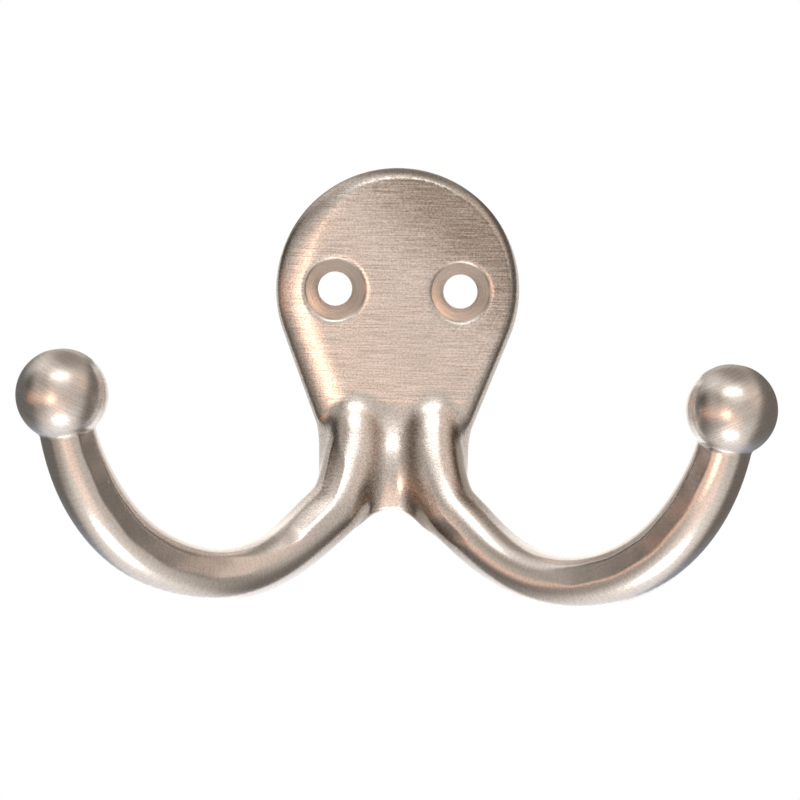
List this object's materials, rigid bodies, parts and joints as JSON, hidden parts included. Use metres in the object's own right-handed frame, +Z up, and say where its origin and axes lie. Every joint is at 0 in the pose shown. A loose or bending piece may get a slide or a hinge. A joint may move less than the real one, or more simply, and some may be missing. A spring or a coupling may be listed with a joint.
{
  "type": "double robe hook",
  "caption": "Wall-mounted robe hook: a rounded plate with countersunk screw holes, and paired round arms that sweep out, down and up to ball ends.",
  "frame": {"origin": "on the plate's flat back face, midway between the axes of the screw holes", "axes": "+X to the right seen from the front, +Y into the wall, +Z up"},
  "size_m": [0.0892, 0.033, 0.0536],
  "materials": {
    "satin_nickel": "satin brushed nickel plate on a die-cast zinc alloy"
  },
  "bodies": {
    "root": {"hook": "satin_nickel"}
  },
  "joints": []
}
